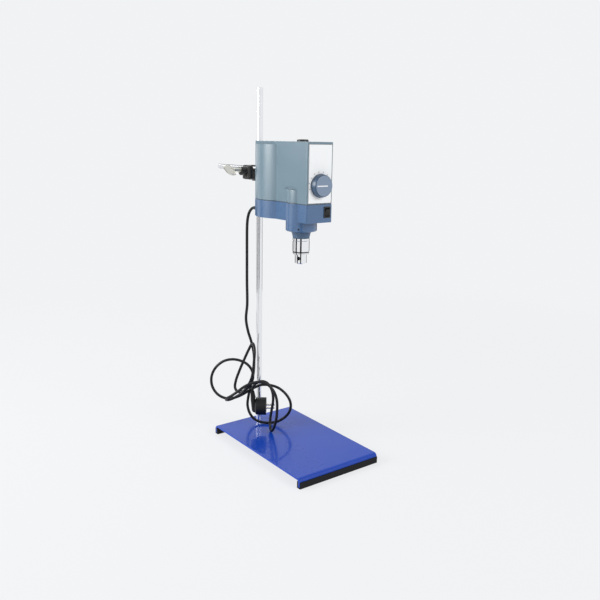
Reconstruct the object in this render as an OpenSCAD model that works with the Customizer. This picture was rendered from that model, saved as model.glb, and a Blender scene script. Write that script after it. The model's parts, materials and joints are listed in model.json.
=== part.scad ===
// Overhead laboratory stirrer on a plate stand, in millimetres, +Z up.
// The origin is the middle of the whole stand's outline at bench level.
// The control panel faces -Y, the stand rod is near the back of the plate.

/* [Stand] */
// Width of the base plate, side to side
plate_w = 200; // [180:5:260]
// Depth of the base plate, front to back
plate_d = 320; // [300:5:380]
// Height of the plate's top face above the bench
plate_top = 20; // [18:0.5:26]
// Thickness of the plate's sheet
sheet = 4; // [3:0.5:6]
// Outside radius of the bend at the plate's front and back
bend_r = 8; // [6:0.5:10]
// Depth of the foot strips that the plate's bent edges stand in
foot_d = 11; // [9:0.5:14]
// Height of the foot strips
foot_h = 13; // [11:0.5:14]
// Thickness of a foot strip's outer lip and of its floor
lip = 2; // [1.5:0.5:3]
// Diameter of the stand rod
rod_d = 13; // [12:0.5:16]
// Whole length of the stand rod, with its threaded stud
rod_len = 750; // [700:10:900]
// Distance from the plate's back edge to the rod's axis
rod_back = 27; // [22:1:40]

/* [Clamp] */
// Height of the support arm's axis above the bench
arm_z = 589; // [560:1:620]
// Diameter of the support arm
arm_d = 10; // [8:0.5:12]
// Visible length of the arm behind the housing
arm_len = 190; // [150:5:200]
// Sideways distance between the rod's axis and the arm's axis
arm_off = 24; // [22:0.5:30]
// Thickness of the boss head along the arm
boss_w = 30; // [24:1:34]
// Height of the boss head
boss_h = 30; // [28:1:36]
// Diameter of the clamping screws
screw_d = 8; // [6:0.5:8]
// Span of a wing across the screw
wing_span = 36; // [30:1:44]

/* [Housing] */
// Width between the housing's flat sides
body_w = 60; // [58:1:70]
// Depth of the housing
body_d = 174; // [170:1:190]
// Height of the grey upper housing
upper_h = 114; // [110:1:130]
// Height of the blue lower housing
lower_h = 34; // [32:1:44]
// Height of the housing's top face above the arm's axis
top_over_arm = 57; // [50:1:60]
// Gap between the housing's back and the rod's axis
back_gap = 63; // [55:1:80]
// Wall thickness of both housings
wall = 3; // [2.5:0.5:4]
// Radius of the housing's upright corners
corner_r = 3; // [1:0.5:5]
// How far the motor bulge stands out of each side
bulge_out = 10; // [8:0.5:12]
// Radius of the motor bulge's curve
bulge_r = 70; // [66:1:80]
// Distance from the housing's back to the motor's axis
motor_back = 40; // [38:1:46]

/* [Drive] */
// Distance from the housing's front to the spindle's axis
spindle_front = 46; // [40:1:54]
// Sideways shift of the spindle from the housing's middle
spindle_off = 7; // [4:0.5:8]
// Radius of the spindle boss under the housing
neck_r = 30; // [28:0.5:32]
// How far the boss hangs below the housing
neck_drop = 19; // [16:0.5:24]
// Diameter of the hollow spindle
spindle_d = 17; // [16:0.5:18]
// Diameter of the hole through the spindle
through_d = 10.6; // [10:0.1:11]
// Outside diameter of the ball bearings
bearing_d = 35; // [32:0.5:38]
// Width of the ball bearings
bearing_w = 10; // [8:0.5:12]
// Radius of the motor's can
motor_r = 31; // [26:0.5:33]
// Height of the motor's can
motor_h = 74; // [60:1:78]
// Radius of the small belt wheel
small_wheel_r = 8; // [7:0.5:11]
// Radius of the large belt wheel
large_wheel_r = 20; // [16:0.5:21]

/* [Chuck] */
// Outside diameter of the chuck's sleeve
sleeve_d = 32.8; // [32:0.2:36]
// Length of the sleeve
sleeve_len = 27; // [25:0.5:32]
// Diameter of the chuck's nose
nose_d = 23; // [22:0.5:25]
// Length of the nose below the sleeve
nose_len = 18; // [16:0.5:20]
// Tilt of the jaws from the chuck's axis, in degrees
jaw_tilt = 15; // [12:0.5:16]
// Radius of a jaw
jaw_r = 2.6; // [2.2:0.1:2.8]
// Diameter of the shaft that the jaws are set to
grip_d = 6; // [5:0.5:8]
// Number of teeth on the key ring
key_teeth = 24; // [18:1:30]

/* [Controls] */
// Radius of the speed knob's skirt
knob_r = 22; // [18:0.5:24]
// Height of the knob in front of the panel
knob_h = 12; // [10:0.5:16]
// Height of the knob's axis above the seam of the housing
knob_up = 35; // [32:1:45]
// Width of the switch's frame
switch_w = 15; // [13:0.5:16]
// Height of the switch's frame
switch_h = 21; // [18:0.5:23]
// Width of the white panel
panel_w = 55; // [48:0.5:55]

/* [Cord] */
// Diameter of the power cord
cord_d = 6; // [5:0.5:7]
// Length of the strain relief behind the housing
relief_len = 26; // [20:1:34]

/* [Hidden] */
$fn = 48;
fit = 0.05;

// Plan positions: plate_y is the plate's middle
gap_b = back_gap - boss_w / 2;
arm_end = plate_d / 2 - rod_back - back_gap + arm_len;
plate_y = -(arm_end - plate_d / 2) / 2;
rod_y = plate_y + plate_d / 2 - rod_back;
body_x = -arm_off;
back_y = rod_y - back_gap;
front_y = back_y - body_d;
mid_y = back_y - body_d / 2;
left_x = body_x - body_w / 2;
right_x = body_x + body_w / 2;
top_z = arm_z + top_over_arm;
seam_z = top_z - upper_h;
low_z = seam_z - lower_h;
sx = body_x - spindle_off;
sy = front_y + spindle_front;
mx = body_x;
my = back_y - motor_back;
neck_z = low_z - neck_drop;
nut_t = 5;
screw_r = screw_d / 2;
screw_z = arm_z - 3;
boss_z = arm_z + arm_d / 2 + 2 - boss_h;
hub_r = screw_r + 5;
wing_r = 11;
deck_z = seam_z + 16;
deck_t = 3;
post_r = 4.5;
post_in = wall + post_r - 0.5;
switch_deep = 16;
post_front = switch_deep + 1.5 + post_r;
flange_z = lip + 0.5;
grip_gap = 0.1;

// A rectangle with round corners, exact arcs
module round_rect(w, d, r) {
  square([w - 2 * r, d], center = true);
  square([w, d - 2 * r], center = true);
  for (x = [-1, 1], y = [-1, 1])
    translate([x * (w / 2 - r), y * (d / 2 - r)]) circle(r = r);
}

// The housing's outline, grown or shrunk by g, with motor bulges
module body_outline(g) {
  translate([body_x, mid_y]) round_rect(body_w + 2 * g, body_d + 2 * g, max(0.6, corner_r + g));
}
module bulge_outline(g) {
  intersection() {
    translate([left_x - bulge_out + bulge_r, my]) circle(r = bulge_r + g, $fn = 96);
    translate([right_x + bulge_out - bulge_r, my]) circle(r = bulge_r + g, $fn = 96);
    translate([body_x, my]) square([3 * body_w, bulge_chord() + 4], center = true);
  }
}
function bulge_chord() = 2 * sqrt(2 * bulge_r * bulge_out - bulge_out * bulge_out);
module at_posts() {
  for (x = [left_x + post_in, right_x - post_in], y = [front_y + post_front, back_y - post_in])
    translate([x, y, 0]) children();
}
// A hexagon across its flats
module hexagon(af, h) { cylinder(d = af / cos(30), h = h, $fn = 6); }

// Stand
module half_section() {
  // half of the plate's section, from the middle to one bent edge
  d = plate_d / 2 - lip;
  difference() {
    union() {
      translate([0, plate_top - sheet]) square([d - bend_r, sheet]);
      translate([d - bend_r, plate_top - bend_r]) intersection() {
        circle(r = bend_r);
        square([bend_r, bend_r]);
      }
      translate([d - sheet, flange_z]) square([sheet, plate_top - bend_r - flange_z]);
    }
    translate([d - bend_r, plate_top - bend_r]) circle(r = bend_r - sheet);
  }
}
module base_plate() {
  color([0.20, 0.32, 0.66]) difference() {
    intersection() {
      translate([-plate_w / 2, plate_y, 0]) rotate([90, 0, 90]) linear_extrude(height = plate_w) {
        half_section();
        mirror([1, 0]) half_section();
      }
      translate([0, plate_y, -1]) linear_extrude(height = plate_top + 2) round_rect(plate_w, plate_d + 12, 11);
    }
    translate([0, rod_y, plate_top - sheet - 1]) cylinder(d = stud_d + 2 * fit, h = sheet + 2);
    at_foot_screws() translate([0, 0, lip - 1]) cylinder(r = foot_screw_r + 0.1, h = sheet + 2);
  }
}
stud_d = rod_d - 3;
foot_screw_r = 1.8;
foot_screw_z = foot_h / 2 + 1;
// Places on the outer face of each foot strip, +Z pointing inward
module at_foot_screws() {
  for (x = [-1, 1], y = [-1, 1])
    translate([x * (plate_w / 2 - 25), plate_y + y * plate_d / 2, foot_screw_z])
      rotate([y * 90, 0, 0]) children();
}
module foot_strip(s) {
  // strip with a groove for the plate's bent edge, screwed on from inside
  e = plate_y + s * plate_d / 2;
  color([0.09, 0.09, 0.10]) difference() {
    translate([0, e - s * foot_d / 2, 0]) linear_extrude(height = foot_h) round_rect(plate_w, foot_d, 1.5);
    translate([-plate_w, e - s * (lip + sheet / 2) - sheet / 2 - grip_gap, lip + 0.4])
      cube([2 * plate_w, sheet + 2 * grip_gap, foot_h]);
    at_foot_screws() translate([0, 0, lip + sheet]) cylinder(r = foot_screw_r, h = foot_d);
  }
}
module front_foot() { foot_strip(-1); }
module rear_foot() { foot_strip(1); }
module foot_screws() {
  color([0.75, 0.76, 0.78]) at_foot_screws() {
    translate([0, 0, lip]) cylinder(r = foot_screw_r, h = foot_d - lip);
    difference() {
      translate([0, 0, foot_d]) cylinder(r1 = foot_screw_r + 1.6, r2 = foot_screw_r + 0.8, h = 1.8);
      translate([0, 0, foot_d + 0.8]) cylinder(d = 2, h = 2, $fn = 6);
    }
  }
}
module stand_rod() {
  stud = 16;
  color([0.82, 0.83, 0.85]) translate([0, rod_y, 0]) {
    translate([0, 0, plate_top - stud]) cylinder(d = stud_d, h = stud);
    translate([0, 0, plate_top]) cylinder(d = rod_d, h = rod_len - stud - 1.5);
    translate([0, 0, plate_top + rod_len - stud - 1.5]) cylinder(d1 = rod_d, d2 = rod_d - 3, h = 1.5);
  }
}
module rod_washer() {
  color([0.75, 0.76, 0.78]) translate([0, rod_y, plate_top - sheet - 2]) difference() {
    cylinder(d = stud_d + 12, h = 2);
    translate([0, 0, -1]) cylinder(d = stud_d + 2 * fit, h = 4);
  }
}
module rod_nut() {
  color([0.75, 0.76, 0.78]) translate([0, rod_y, plate_top - sheet - 2 - 6]) difference() {
    hexagon(17, 6);
    translate([0, 0, -1]) cylinder(d = stud_d, h = 8);
  }
}

// Clamp
boss_left = arm_off + arm_d / 2 + 9;
boss_right = rod_d / 2 + 10;
hub_len = 10;
module boss_head() {
  // cast block with one upright bore and one level bore, open on top
  color([0.33, 0.33, 0.34]) translate([0, rod_y, 0]) difference() {
    union() {
      // block, rounded in its front, side and top outlines
      translate([(boss_right - boss_left) / 2, 0, boss_z + boss_h / 2]) intersection() {
        rotate([90, 0, 0]) linear_extrude(height = boss_w, center = true)
          round_rect(boss_left + boss_right, boss_h, 9);
        rotate([90, 0, 90]) linear_extrude(height = 2 * boss_left + 20, center = true)
          round_rect(boss_w, boss_h, 6);
        linear_extrude(height = boss_h + 2, center = true)
          round_rect(boss_left + boss_right, boss_w, 10);
      }
      // screw hubs on both sides
      translate([-boss_left - hub_len, 0, screw_z - 2]) rotate([0, 90, 0])
        cylinder(r = hub_r, h = boss_left + hub_len);
      translate([0, 0, screw_z - 2]) rotate([0, 90, 0])
        cylinder(r = hub_r, h = boss_right + hub_len);
      // round barrel about the rod
      translate([0, 0, boss_z - 3]) cylinder(r = boss_right, h = boss_h + 1);
    }
    // rod bore
    translate([0, 0, boss_z - 10]) cylinder(d = rod_d + 2 * fit, h = boss_h + 20);
    // arm bore with its open top
    translate([-arm_off, 0, arm_z]) rotate([90, 0, 0])
      cylinder(d = arm_d + 2 * fit, h = boss_w + 10, center = true);
    translate([-arm_off, 0, arm_z + 10]) cube([arm_d - 3, boss_w + 10, 20], center = true);
    // screw bores
    translate([-boss_left - hub_len - 1, 0, screw_z]) rotate([0, 90, 0])
      cylinder(r = screw_r + fit, h = boss_left + hub_len + 1 - arm_off);
    translate([0, 0, screw_z]) rotate([0, 90, 0])
      cylinder(r = screw_r + fit, h = boss_right + hub_len + 1);
  }
}
// One clamping screw along +X, its tip at x = 0; the wing turns by tilt
module wing_screw(reach, tilt) {
  rotate([0, 90, 0]) cylinder(r = screw_r, h = reach + 17);
  translate([reach + 0.4, 0, 0]) rotate([0, 90, 0]) cylinder(r = screw_r + 2, h = 2.6);
  translate([reach + 22, 0, 0]) rotate([tilt, 0, 0]) wing();
}
module wing() {
  // oval thumb plate, thicker in the middle, on a short hub
  rotate([0, 90, 0]) translate([0, 0, -9]) cylinder(r1 = screw_r - 0.4, r2 = screw_r + 0.8, h = 9);
  rotate([90, 0, 0]) hull() for (s = [-1, 1]) translate([4, s * (wing_span / 2 - wing_r), 0]) {
    cylinder(r = wing_r, h = 2, center = true, $fn = 32);
    cylinder(r = wing_r - 3, h = 5, center = true, $fn = 32);
  }
}
module arm_wing_screw() {
  color([0.72, 0.72, 0.68])
    translate([-arm_off - arm_d / 2 - grip_gap, rod_y, screw_z]) rotate([0, 0, 180])
      wing_screw(boss_left + hub_len - arm_off - arm_d / 2 - grip_gap, 58);
}
module rod_wing_screw() {
  color([0.72, 0.72, 0.68])
    translate([rod_d / 2 + grip_gap, rod_y, screw_z])
      wing_screw(boss_right + hub_len - rod_d / 2 - grip_gap, 20);
}
module support_arm() {
  color([0.85, 0.86, 0.88]) translate([body_x, back_y, arm_z]) rotate([-90, 0, 0]) {
    translate([0, 0, -wall - nut_t - 0.4]) cylinder(d = arm_d - 2, h = wall + nut_t + 0.4);
    cylinder(d = arm_d, h = arm_len - 1);
    translate([0, 0, arm_len - 1]) cylinder(d1 = arm_d, d2 = arm_d - 2, h = 1);
  }
}
module arm_lock_nut() {
  // nut inside the back wall
  color([0.75, 0.76, 0.78]) translate([body_x, back_y - wall, arm_z]) rotate([90, 0, 0]) difference() {
    hexagon(15, nut_t);
    translate([0, 0, -1]) cylinder(d = arm_d - 2, h = nut_t + 2);
  }
}

// Housings
module upper_housing() {
  cap_hole = cap_stem_r + 0.3;
  color([0.56, 0.63, 0.67]) difference() {
    union() {
      translate([0, 0, seam_z + seam_gap]) linear_extrude(height = upper_h - seam_gap) body_outline(0);
      translate([0, 0, seam_z + seam_gap]) linear_extrude(height = upper_h - seam_gap - 6) bulge_outline(0);
      translate([sx, sy, seam_z + seam_gap]) cylinder(r = neck_r - 2, h = boss_up - seam_gap - 1.5);
      translate([sx, sy, seam_z + boss_up - 1.5]) cylinder(r1 = neck_r - 2, r2 = neck_r - 3.5, h = 1.5);
      // set back foot that leaves a dark line along the seam
      translate([0, 0, seam_z]) linear_extrude(height = seam_gap + 1) body_outline(-0.7);
      translate([0, 0, seam_z]) linear_extrude(height = seam_gap + 1) bulge_outline(-0.7);
      translate([sx, sy, seam_z]) cylinder(r = neck_r - 2.7, h = seam_gap + 1);
    }
    // shallow scoop in the wall over the boss, on the left side
    intersection() {
      translate([sx, sy, seam_z + boss_up]) cylinder(r1 = neck_r + 2, r2 = neck_r - 3, h = 5);
      translate([left_x - 20, sy - neck_r - 5, seam_z]) cube([20.9, 2 * neck_r + 10, upper_h]);
    }
    // inner space under the top
    difference() {
      union() {
        translate([0, 0, seam_z - 1]) linear_extrude(height = upper_h - wall + 1) body_outline(-wall);
        translate([0, 0, seam_z - 1]) linear_extrude(height = upper_h - 6 - wall + 1) bulge_outline(-wall);
        translate([sx, sy, seam_z - 1]) cylinder(r = neck_r - 2 - wall, h = boss_up + 1 - wall);
      }
      // corner posts from the top down to the deck
      translate([0, 0, deck_z + deck_t]) at_posts() cylinder(r = post_r, h = top_z - deck_z - deck_t);
      // seat of the upper bearing
      translate([sx, sy, top_z - wall - bearing_w - 1]) cylinder(d = bearing_d + 6, h = bearing_w + 2);
    }
    translate([sx, sy, top_z - wall - bearing_w - 3]) cylinder(d = bearing_d, h = bearing_w + 3 - 2);
    translate([sx, sy, top_z - wall - 4]) cylinder(r = cap_hole, h = wall + 6);
    // holes for the knob's shaft, the arm and the screws
    translate([body_x, front_y - 1, seam_z + knob_up]) rotate([-90, 0, 0]) cylinder(r = 4, h = wall + 2);
    translate([body_x, back_y + 1, arm_z]) rotate([90, 0, 0]) cylinder(d = arm_d - 2, h = wall + 2);
    translate([0, 0, deck_z + deck_t - 1]) at_posts() cylinder(r = post_screw_r, h = 13);
    // shallow seat of the white panel
    translate([body_x, front_y, panel_mid]) cube([panel_w + 0.4, 0.8, panel_h + 0.4], center = true);
  }
}
panel_low = 2;
panel_h = upper_h - panel_low - 4;
panel_mid = seam_z + panel_low + panel_h / 2;
cap_stem_r = 8;
cap_r = 11;
seam_gap = 1.2;
boss_up = 26;
post_screw_r = 2;
module lower_housing() {
  color([0.42, 0.53, 0.70]) difference() {
    union() {
      translate([0, 0, low_z]) linear_extrude(height = lower_h) body_outline(0.4);
      translate([0, 0, low_z]) linear_extrude(height = lower_h) bulge_outline(0.4);
      translate([sx, sy, neck_z + 1.5]) cylinder(r = neck_r, h = lower_h + neck_drop - 1.5);
      translate([sx, sy, neck_z]) cylinder(r1 = neck_r - 1.5, r2 = neck_r, h = 1.5);
      at_posts() translate([0, 0, low_z + 1]) cylinder(r = post_r - 0.8, h = deck_z - low_z - 1);
    }
    difference() {
      union() {
        translate([0, 0, low_z + wall]) linear_extrude(height = lower_h) body_outline(0.4 - wall);
        translate([0, 0, low_z + wall]) linear_extrude(height = lower_h) bulge_outline(0.4 - wall);
        translate([sx, sy, low_z + wall]) cylinder(r = neck_r - wall, h = lower_h);
      }
      // posts up to the deck
      at_posts() translate([0, 0, low_z]) cylinder(r = post_r, h = lower_h - 0.5);
      at_posts() translate([0, 0, low_z]) cylinder(r = post_r - 0.8, h = lower_h + 10);
    }
    // bearing seat and the spindle's way out
    translate([sx, sy, neck_z + 7]) cylinder(d = bearing_d, h = 60);
    translate([sx, sy, neck_z - 1]) cylinder(d = spindle_d + 3, h = 20);
    // screw holes through the posts, with sunk heads
    at_posts() translate([0, 0, low_z - 1]) {
      cylinder(r = post_screw_r + 0.2, h = deck_z - low_z + 4);
      cylinder(r = post_screw_r + 2.1, h = 4.2);
    }
    // switch, gland and set screw
    translate([switch_x, front_y, switch_z]) cube([switch_w - 2, 20, switch_h - 2], center = true);
    translate([gland_x, back_y + 5, gland_z]) rotate([90, 0, 0]) cylinder(r = gland_r, h = 15);
    translate([sx, sy, neck_z + 5.5]) rotate([0, 0, set_az]) rotate([0, 90, 0]) cylinder(r = set_r, h = 60);
  }
}
set_az = 223;
set_r = 2;
switch_x = right_x - switch_w / 2 - 5;
switch_z = low_z + lower_h / 2 + 2.5;
gland_x = left_x + 18;
gland_z = low_z + 12;
gland_r = 5;
module housing_screws() {
  color([0.30, 0.30, 0.32]) at_posts() translate([0, 0, low_z + 0.2]) {
    difference() {
      cylinder(r = post_screw_r + 2, h = 3);
      translate([0, 0, -1]) cylinder(d = 3, h = 2.8, $fn = 6);
    }
    translate([0, 0, 3]) cylinder(r = post_screw_r, h = deck_z + deck_t - low_z + 5);
  }
}
module front_panel() {
  color([0.93, 0.94, 0.95]) difference() {
    translate([body_x, front_y + 0.1, panel_mid]) rotate([90, 0, 0])
      linear_extrude(height = 0.6, center = true) round_rect(panel_w, panel_h, 1.5);
    translate([body_x, front_y - 2, seam_z + knob_up]) rotate([-90, 0, 0]) cylinder(r = 4, h = 4);
  }
}

// Controls
knob_z = seam_z + knob_up;
module speed_knob() {
  face_r = knob_r - 2;
  color([0.36, 0.43, 0.52]) translate([body_x, front_y - 0.8, knob_z]) rotate([90, 0, 0]) difference() {
    union() {
      cylinder(r = knob_r, h = 3);
      translate([0, 0, 3]) cylinder(r1 = knob_r - 0.6, r2 = face_r, h = knob_h - 4.2);
      translate([0, 0, knob_h - 1.2]) cylinder(r1 = face_r, r2 = face_r - 1.2, h = 1.2);
    }
    // slot for the pointer, bore for the shaft and a hollow behind the skirt
    translate([-4, 0, knob_h]) cube([knob_r + 2, 2, 2], center = true);
    translate([0, 0, -1]) cylinder(r = 3, h = knob_h - 4);
    translate([0, 0, -1]) difference() {
      cylinder(r = 12, h = 3);
      translate([0, 0, -1]) cylinder(r = 5.6, h = 5);
    }
  }
}
module knob_pointer() {
  color([0.97, 0.97, 0.97]) translate([body_x, front_y - 0.8, knob_z]) rotate([90, 0, 0])
    translate([-4, 0, knob_h - 0.4]) cube([knob_r + 2, 2, 1.2], center = true);
}
module potentiometer() {
  color([0.25, 0.30, 0.28]) translate([body_x, front_y, knob_z]) rotate([-90, 0, 0]) {
    translate([0, 0, wall]) cylinder(r = 9, h = 11);
    difference() {
      translate([0, 0, -0.6]) cylinder(r = 4 - fit, h = wall + 1);
      translate([0, 0, -1]) cylinder(r = 3 + fit, h = wall + 1);
    }
    for (i = [-1:1]) translate([i * 5, -10, wall + 4]) cube([1.6, 8, 0.8], center = true);
  }
}
module control_shaft() {
  // the turning shaft of the speed control, under the knob
  color([0.70, 0.71, 0.72]) translate([body_x, front_y - 0.8, knob_z]) rotate([90, 0, 0])
    translate([0, 0, -2.6]) cylinder(r = 3, h = knob_h - 2.5);
}
module switch_frame() {
  color([0.07, 0.07, 0.08]) translate([switch_x, front_y, switch_z]) rotate([90, 0, 0]) difference() {
    union() {
      translate([0, 0, 0.4]) linear_extrude(height = 1.6) round_rect(switch_w, switch_h, 1.2);
      translate([0, 0, -switch_deep]) linear_extrude(height = switch_deep + 1) square([switch_w - 2.2, switch_h - 2.2], center = true);
    }
    translate([0, 0, -5]) linear_extrude(height = 10) square([rocker_w + 0.6, switch_h - 5], center = true);
  }
}
rocker_w = switch_w - 5.4;
module switch_rocker() {
  // two flats that meet at a shallow angle, turned on its pin
  rh = switch_h - 6.6;
  color([0.14, 0.14, 0.15]) translate([switch_x, front_y, switch_z]) rotate([90, 0, 90])
    translate([0, 0, -rocker_w / 2]) linear_extrude(height = rocker_w)
      polygon([[-2.6, 0.2 - rh / 2], [-1.2, rh / 2], [4.6, rh / 2 - 1], [2.4, 0], [2.2, 0.8 - rh / 2]]
        * [[-1, 0], [0, 1]]);
}
module shaft_cap() {
  // push-in collar over the hollow spindle's top end, open so that a long shaft can pass
  color([0.06, 0.06, 0.07]) translate([sx, sy, top_z]) difference() {
    union() {
      cylinder(r = cap_r, h = 2.6);
      translate([0, 0, 2.6]) cylinder(r1 = cap_r, r2 = cap_r - 1.6, h = 1.4);
      translate([0, 0, -wall - 1]) cylinder(r = cap_stem_r, h = wall + 2);
    }
    translate([0, 0, -wall - 2]) cylinder(d = through_d + 1.4, h = wall + 7);
  }
}

// Inside
module chassis_plate() {
  color([0.70, 0.71, 0.73]) difference() {
    translate([0, 0, deck_z]) linear_extrude(height = deck_t) body_outline(-wall - 0.3);
    translate([sx, sy, deck_z - 1]) cylinder(d = spindle_d + 6, h = deck_t + 2);
    translate([mx, my, deck_z - 1]) cylinder(r = 9, h = deck_t + 2);
    at_posts() translate([0, 0, deck_z - 1]) cylinder(r = post_screw_r + 0.2, h = deck_t + 2);
    for (a = [45, 225]) translate([mx, my, deck_z - 1]) rotate([0, 0, a])
      translate([20, 0, 0]) cylinder(r = 2, h = deck_t + 2);
  }
}
module motor_can() {
  color([0.62, 0.63, 0.65]) translate([mx, my, deck_z + deck_t]) difference() {
    union() {
      cylinder(r = motor_r - 6, h = 3);
      translate([0, 0, 3]) cylinder(r = motor_r, h = motor_h - 3);
    }
    translate([0, 0, -1]) cylinder(r = 4 + fit, h = motor_h + 2);
    for (a = [0:45:315]) rotate([0, 0, a]) translate([motor_r - 6, 0, motor_h / 2])
      linear_extrude(height = 40, center = true) square([3, 9], center = true);
  }
}
module motor_end_cap() {
  color([0.14, 0.14, 0.15]) translate([mx, my, deck_z + deck_t + motor_h]) difference() {
    union() { cylinder(r = motor_r - 1, h = 5); cylinder(r = 12, h = 9); }
    translate([0, 0, -1]) cylinder(r = 4 + fit, h = 7);
  }
}
module motor_shaft() {
  color([0.80, 0.81, 0.83]) translate([mx, my, deck_z - 15]) cylinder(r = 4, h = motor_h + deck_t + 19);
}
module belt_wheel(r, bore, z, h) {
  difference() {
    union() {
      cylinder(r = r, h = h);
      cylinder(r = r + 1.8, h = 1);
      translate([0, 0, h - 1]) cylinder(r = r + 1.8, h = 1);
    }
    translate([0, 0, -1]) cylinder(r = bore, h = h + 2);
  }
}
wheel_h = 10;
wheel_z = deck_z - 13;
belt_t = 1.5;
module motor_wheel() {
  color([0.25, 0.25, 0.26]) translate([mx, my, wheel_z]) belt_wheel(small_wheel_r, 4, 0, wheel_h);
}
module spindle_wheel() {
  color([0.25, 0.25, 0.26]) translate([sx, sy, wheel_z]) difference() {
    belt_wheel(large_wheel_r, spindle_d / 2, 0, wheel_h);
    for (a = [0:60:300]) rotate([0, 0, a]) translate([14, 0, -1]) cylinder(r = 2.6, h = wheel_h + 2);
  }
}
// Outline round both wheels
module belt_outline(g) {
  hull() {
    translate([mx, my]) circle(r = small_wheel_r + g, $fn = 32);
    translate([sx, sy]) circle(r = large_wheel_r + g, $fn = 32);
  }
}
module drive_belt() {
  color([0.10, 0.10, 0.11]) translate([0, 0, wheel_z + 1.5]) linear_extrude(height = wheel_h - 3)
    difference() { belt_outline(belt_t + 0.3); belt_outline(0.3); }
}
module spindle() {
  // hollow shaft through both bearings down into the chuck
  color([0.78, 0.79, 0.81]) translate([sx, sy, 0]) difference() {
    translate([0, 0, chuck_top - chuck_socket]) cylinder(d = spindle_d, h = top_z - wall - 3 - chuck_top + chuck_socket);
    translate([0, 0, chuck_top - chuck_socket - 1]) cylinder(d = through_d, h = 300);
  }
}
module ball_bearing() {
  difference() {
    cylinder(d = bearing_d, h = bearing_w);
    translate([0, 0, -1]) cylinder(d = spindle_d + 2 * fit, h = bearing_w + 2);
    for (z = [-0.1, bearing_w - 0.9]) translate([0, 0, z]) difference() {
      cylinder(d = bearing_d - 5, h = 1);
      translate([0, 0, -1]) cylinder(d = spindle_d + 5, h = 3);
    }
  }
}
module upper_bearing() {
  color([0.72, 0.73, 0.75]) translate([sx, sy, top_z - wall - bearing_w - 2]) ball_bearing();
}
module lower_bearing() {
  color([0.72, 0.73, 0.75]) translate([sx, sy, neck_z + 7]) ball_bearing();
}
board_y = front_y + wall + 15;
board_w = body_w - 2 * wall - 22;
board_h = 48;
board_z = knob_z + 14;
module circuit_board() {
  color([0.10, 0.38, 0.20]) difference() {
    translate([body_x - board_w / 2, board_y, board_z]) cube([board_w, 1.6, board_h]);
    at_board() cylinder(r = 1.6, h = 30, center = true);
  }
}
module at_board() {
  for (x = [-1, 1], z = [5, board_h - 5])
    translate([body_x + x * (board_w / 2 - 5), board_y, board_z + z]) rotate([90, 0, 0]) children();
}
module board_posts() {
  color([0.75, 0.70, 0.40]) at_board() cylinder(r = 2.5, h = board_y - front_y - wall);
}
module board_parts() {
  color([0.16, 0.18, 0.30]) {
    translate([body_x - 10, board_y + 1.6, board_z + 14]) rotate([-90, 0, 0]) cylinder(r = 5, h = 8);
    translate([body_x + 8, board_y + 1.6 + 3, board_z + 28]) cube([16, 6, 14], center = true);
    translate([body_x + 8, board_y + 1.6 + 2.5, board_z + 9]) cube([14, 5, 8], center = true);
  }
}

// Spindle nose and chuck
cone_h = 14;
chuck_top = neck_z - cone_h;
rim_h = 4;
chuck_socket = 12;
sleeve_top = chuck_top - rim_h;
sleeve_low = sleeve_top - sleeve_len;
nose_low = sleeve_low - nose_len;
core_r = sleeve_d / 2 - 1.65;
module nose_cone() {
  // hollow flared collar that leads down to the chuck
  r0 = 20;
  r1 = sleeve_d / 2 - 0.2;
  color([0.40, 0.46, 0.56]) translate([sx, sy, chuck_top + 0.6]) rotate_extrude($fn = 72)
    polygon(concat([for (i = [0:8]) [r1 + (r0 - r1) * pow(i / 8, 1.6), (cone_h - 0.6) * i / 8]],
      [[spindle_d / 2 + 1.5, cone_h - 0.6], [spindle_d / 2 + 1.5, 0]]));
}
module neck_set_screw() {
  color([0.10, 0.10, 0.11]) translate([sx, sy, neck_z + 5.5]) rotate([0, 0, set_az]) rotate([0, 90, 0])
    translate([0, 0, neck_r - 9]) difference() {
      cylinder(r = set_r, h = 7.5);
      translate([0, 0, 5]) cylinder(d = 2, h = 4, $fn = 6);
    }
}
jaw_len = 23;
grip_r = grip_d / 2;
jaw_tip = nose_low - 1.6;
key_az = 211;
// The slanted line that jaw i moves along, through the jaw's tip
module on_jaw(i) {
  translate([sx, sy, jaw_tip]) rotate([0, 0, key_az + 60 + i * 120])
    translate([2, 0, 0]) rotate([0, jaw_tilt, 0]) children();
}
module chuck_body() {
  color([0.84, 0.85, 0.87]) difference() {
    union() {
      translate([sx, sy, sleeve_top]) cylinder(d = sleeve_d - 0.4, h = rim_h);
      translate([sx, sy, sleeve_low]) cylinder(r = core_r, h = sleeve_len + 1);
      translate([sx, sy, nose_low + 1]) cylinder(d = nose_d, h = nose_len);
      translate([sx, sy, nose_low]) cylinder(d1 = nose_d - 2, d2 = nose_d, h = 1);
    }
    // the spindle's socket and the way through
    translate([sx, sy, chuck_top - chuck_socket]) cylinder(d = spindle_d, h = chuck_socket + 1);
    translate([sx, sy, nose_low - 1]) cylinder(d = through_d, h = 60);
    // slanted guides of the jaws
    for (i = [0:2]) on_jaw(i) translate([0, 0, -4]) cylinder(r = jaw_r + 0.06, h = 47);
    // pilot holes of the key
    for (i = [0:2]) translate([sx, sy, nose_low + 10.5]) rotate([0, 0, key_az + i * 120])
      rotate([0, 90, 0]) translate([0, 0, through_d / 2 + 1.2]) cylinder(r = 3.6, h = 20);
  }
}
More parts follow.
